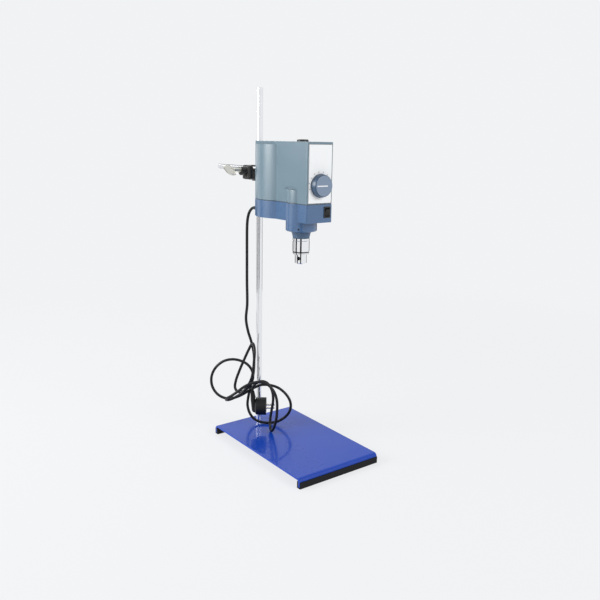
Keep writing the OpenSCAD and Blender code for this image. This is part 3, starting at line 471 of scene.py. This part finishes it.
def dial_ticks(ink):
    """Tick marks round the knob: short bars on an arc, by Geometry Nodes."""
    tree = bpy.data.node_groups.new("dial_ticks", "GeometryNodeTree")
    for label, (kind, value) in TICK_INPUTS.items():
        socket = tree.interface.new_socket(label, in_out="INPUT", socket_type=kind)
        socket.default_value = value
    tree.interface.new_socket("Geometry", in_out="OUTPUT", socket_type="NodeSocketGeometry")
    add, link = tree.nodes.new, tree.links.new
    given = add("NodeGroupInput")
    arc = add("GeometryNodeCurveArc")
    link(given.outputs["Count"], arc.inputs["Resolution"])
    link(given.outputs["Radius"], arc.inputs["Radius"])
    link(given.outputs["Start"], arc.inputs["Start Angle"])
    link(given.outputs["Sweep"], arc.inputs["Sweep Angle"])
    size = add("ShaderNodeCombineXYZ")
    # on the arc, Z runs along it, X across it and Y out of the panel
    link(given.outputs["Length"], size.inputs["X"])
    size.inputs["Y"].default_value = TICK_THICK
    link(given.outputs["Width"], size.inputs["Z"])
    bar = add("GeometryNodeMeshCube")
    link(size.outputs["Vector"], bar.inputs["Size"])
    points = add("GeometryNodeCurveToPoints")
    points.mode = "EVALUATED"
    link(arc.outputs["Curve"], points.inputs["Curve"])
    bars = add("GeometryNodeInstanceOnPoints")
    link(points.outputs["Points"], bars.inputs["Points"])
    link(bar.outputs["Mesh"], bars.inputs["Instance"])
    link(points.outputs["Rotation"], bars.inputs["Rotation"])
    real = add("GeometryNodeRealizeInstances")
    link(bars.outputs["Instances"], real.inputs["Geometry"])
    paint = add("GeometryNodeSetMaterial")
    paint.inputs["Material"].default_value = ink
    link(real.outputs["Geometry"], paint.inputs["Geometry"])
    result = add("NodeGroupOutput")
    link(paint.outputs["Geometry"], result.inputs["Geometry"])
    host = new_object("tick_host", bpy.data.meshes.new("tick_host"))
    host.modifiers.new("ticks", "NODES").node_group = tree
    bpy.context.view_layer.update()
    baked = host.evaluated_get(bpy.context.evaluated_depsgraph_get())
    mesh = bpy.data.meshes.new_from_object(baked)
    bpy.data.objects.remove(host)
    # the arc is drawn flat on XY: stand it up on the panel's face
    low, high = box_of("control_shaft")
    dial = Vector(((low.x + high.x) / 2, box_of("front_panel")[0].y, (low.z + high.z) / 2))
    mesh.transform(Matrix.Translation(dial) @ Matrix.Rotation(math.pi / 2, 4, "X"))
    if not mesh.materials:
        mesh.materials.append(ink)
    settle(new_object("dial_ticks", mesh), "drive_unit")


# The line's outer and inner side from the panel's edge, its corners and its height, in millimetres
RIM_OUT, RIM_IN, RIM_CORNER, RIM_PROUD = 0.15, 0.9, 1.5, 0.06
CORNER_STEPS = 4


def panel_border(rim):
    """The thin grey line printed round the white panel."""
    low, high = (corner / MM for corner in box_of("front_panel"))
    wide, tall = high.x - low.x, high.z - low.z
    middle = ((low.x + high.x) / 2, (low.z + high.z) / 2)
    bm = bmesh.new()
    rings = []
    for inset in (RIM_OUT, RIM_IN):
        ring = []
        for cx, cz, first in ((1, 1, 0), (-1, 1, 90), (-1, -1, 180), (1, -1, 270)):
            r = RIM_CORNER - inset
            for k in range(CORNER_STEPS + 1):
                a = math.radians(first + k * 90 / CORNER_STEPS)
                x = middle[0] + cx * (wide / 2 - inset - r) + r * math.cos(a)
                z = middle[1] + cz * (tall / 2 - inset - r) + r * math.sin(a)
                ring.append(bm.verts.new(Vector((x, low.y - RIM_PROUD, z)) * MM))
        rings.append(ring)
    n = len(rings[0])
    for k in range(n):
        bm.faces.new((rings[0][k], rings[0][(k + 1) % n], rings[1][(k + 1) % n], rings[1][k]))
    bmesh.ops.recalc_face_normals(bm, faces=bm.faces)
    if sum(f.normal.y for f in bm.faces) > 0:
        bmesh.ops.reverse_faces(bm, faces=bm.faces)
    mesh = bpy.data.meshes.new("panel_border")
    bm.to_mesh(mesh)
    bm.free()
    mesh.materials.append(rim)
    settle(new_object("panel_border", mesh), "drive_unit")


# Studio
def area_lamp(name, at, target, size, power):
    """A soft rectangular lamp that faces its target."""
    data = bpy.data.lights.new(name, "AREA")
    data.shape = "RECTANGLE"
    data.size, data.size_y = size
    data.energy = power
    lamp = new_object(name, data)
    lamp.location = at
    lamp.rotation_euler = (Vector(target) - Vector(at)).to_track_quat("-Z", "Y").to_euler()


def seen_rays(tree):
    """1 for camera, glossy and transmission rays, as one value."""
    path = tree.nodes.new("ShaderNodeLightPath")
    first = tree.nodes.new("ShaderNodeMath")
    first.operation = "MAXIMUM"
    tree.links.new(path.outputs["Is Camera Ray"], first.inputs[0])
    tree.links.new(path.outputs["Is Glossy Ray"], first.inputs[1])
    both = tree.nodes.new("ShaderNodeMath")
    both.operation = "MAXIMUM"
    tree.links.new(first.outputs[0], both.inputs[0])
    tree.links.new(path.outputs["Is Transmission Ray"], both.inputs[1])
    return both.outputs[0]


PALE = (0.880, 0.889, 0.905, 1.0)
LIGHT_OF_ROOM = 0.36
FLOOR_HALF = 40.0          # metres, far past what the camera sees
FLOOR_DROP = 0.6 * MM
# The floor shows its shadows up to the first distance, in metres, and is all backdrop past the second
FADE_FROM, FADE_TO = 0.3, 1.9
GLOW_NEAR = 0.82           # share of backdrop in the floor beside the stand


def pale_room():
    """A world that lights softly and shows pale behind the object."""
    world = bpy.data.worlds.new("pale_room")
    world.use_nodes = True
    bpy.context.scene.world = world
    t = world.node_tree
    plain = t.nodes["Background"]
    plain.inputs["Color"].default_value = (0.97, 0.98, 1.0, 1.0)
    plain.inputs["Strength"].default_value = LIGHT_OF_ROOM
    backdrop = t.nodes.new("ShaderNodeBackground")
    backdrop.inputs["Color"].default_value = PALE
    backdrop.inputs["Strength"].default_value = 1.0
    mix = t.nodes.new("ShaderNodeMixShader")
    t.links.new(seen_rays(t), mix.inputs["Fac"])
    t.links.new(plain.outputs[0], mix.inputs[1])
    t.links.new(backdrop.outputs[0], mix.inputs[2])
    t.links.new(mix.outputs[0], t.nodes["World Output"].inputs["Surface"])


def pale_floor():
    """A floor that keeps the shadow near the stand and blends into the backdrop far away."""
    mesh = bpy.data.meshes.new("floor")
    mesh.from_pydata([(x * FLOOR_HALF, y * FLOOR_HALF, -FLOOR_DROP)
                      for x, y in ((-1, -1), (1, -1), (1, 1), (-1, 1))], [], [(0, 1, 2, 3)])
    mat = bpy.data.materials.new("pale_floor")
    mat.use_nodes = True
    t = mat.node_tree
    matt = t.nodes.new("ShaderNodeBsdfDiffuse")
    matt.inputs["Color"].default_value = (0.86, 0.87, 0.89, 1.0)
    glow = t.nodes.new("ShaderNodeEmission")
    glow.inputs["Color"].default_value = PALE
    part = t.nodes.new("ShaderNodeMath")
    part.operation = "MULTIPLY"
    t.links.new(seen_rays(t), part.inputs[0])
    away = t.nodes.new("ShaderNodeVectorMath")
    away.operation = "LENGTH"
    t.links.new(t.nodes.new("ShaderNodeTexCoord").outputs["Object"], away.inputs[0])
    fade = t.nodes.new("ShaderNodeMapRange")
    fade.inputs["From Min"].default_value = FADE_FROM
    fade.inputs["From Max"].default_value = FADE_TO
    fade.inputs["To Min"].default_value = GLOW_NEAR
    fade.inputs["To Max"].default_value = 1.0
    t.links.new(away.outputs["Value"], fade.inputs["Value"])
    t.links.new(fade.outputs["Result"], part.inputs[1])
    mix = t.nodes.new("ShaderNodeMixShader")
    t.links.new(part.outputs[0], mix.inputs["Fac"])
    t.links.new(matt.outputs[0], mix.inputs[1])
    t.links.new(glow.outputs[0], mix.inputs[2])
    t.links.new(mix.outputs[0], t.nodes["Material Output"].inputs["Surface"])
    mesh.materials.append(mat)
    new_object("floor", mesh)


# Each lamp: where it hangs, the point it faces and its sides, in metres, and its watts
LAMPS = {"key": ((-2.3, 1.0, 1.3), (0, 0, 0.4), (1.3, 1.3), 66),
         "fill": ((0.8, -2.6, 1.7), (0, 0, 0.4), (1.2, 1.2), 44),
         "back": ((0.4, 2.2, 2.2), (0, 0, 0.5), (2.0, 1.0), 22)}


# Dark cards round the room: turn from the front in degrees, width and height in metres. They are
# low, so that upright chrome reflects them and the plate's gloss looks over them.
CARD_AWAY, CARD_TOP = 1.5, 0.42
ROOM_CARDS = ((-37.0, 0.55, CARD_TOP), (170.0, 1.05, CARD_TOP), (116.0, 1.05, CARD_TOP),
              (-100.0, 0.60, CARD_TOP), (-144.0, 0.40, 0.66))
# Two more for the arm, one behind and above, one low behind: how far from its end, and half their depth
ARM_CARDS = {"arm_card_high": ((0.18, 0.96, 0.62), (0, -0.10, 0.17)),
             "arm_card_low": ((0.18, 0.80, -0.58), (0, 0.14, 0.0))}
ARM_CARD_WIDE = 0.60


def mirror_card(name, mid, side, up, mat):
    """A card that only shows as a stripe in polished metal, from its middle and its half sides."""
    mesh = bpy.data.meshes.new(name)
    corners = [mid - side - up, mid + side - up, mid + side + up, mid - side + up]
    mesh.from_pydata(corners, [], [(0, 1, 2, 3)])
    mesh.materials.append(mat)
    card = new_object(name, mesh)
    card.visible_camera = False
    card.visible_diffuse = False
    card.visible_shadow = False


def hang_cards():
    """The dark cards, low round the room and behind the arm."""
    dark = bpy.data.materials.new("dark_card")
    dark.use_nodes = True
    dark.node_tree.nodes["Principled BSDF"].inputs["Base Color"].default_value = (0.01, 0.01, 0.012, 1)
    dark.node_tree.nodes["Principled BSDF"].inputs["Roughness"].default_value = 0.9
    for i, (turn, wide, high) in enumerate(ROOM_CARDS):
        a = math.radians(turn)
        mid = Vector((math.sin(a) * CARD_AWAY, -math.cos(a) * CARD_AWAY, high / 2))
        side = Vector((math.cos(a), math.sin(a), 0)) * wide / 2
        mirror_card(f"dark_card_{i}", mid, side, Vector((0, 0, high / 2)), dark)
    low, high = box_of("support_arm")
    arm_end = Vector(((low.x + high.x) / 2, high.y, (low.z + high.z) / 2))
    side = Vector((ARM_CARD_WIDE / 2, 0, 0))
    for name, (away, half_depth) in ARM_CARDS.items():
        mirror_card(name, arm_end + Vector(away), side, Vector(half_depth), dark)


aim_camera()
finishes = {name: finish(name, **look) for name, look in LOOKS.items()}
lay_cord(finishes)
dress(finishes)
paint_shade_and_highlight(finishes)
for piece, radius in ROUNDED.items():
    round_edges(piece, radius)
dial_ticks(finishes["tick_ink"])
panel_border(finishes["panel_rim"])
pale_room()
pale_floor()
for lamp, hung in LAMPS.items():
    area_lamp(lamp, *hung)
hang_cards()
bpy.context.scene.view_settings.view_transform = "Standard"
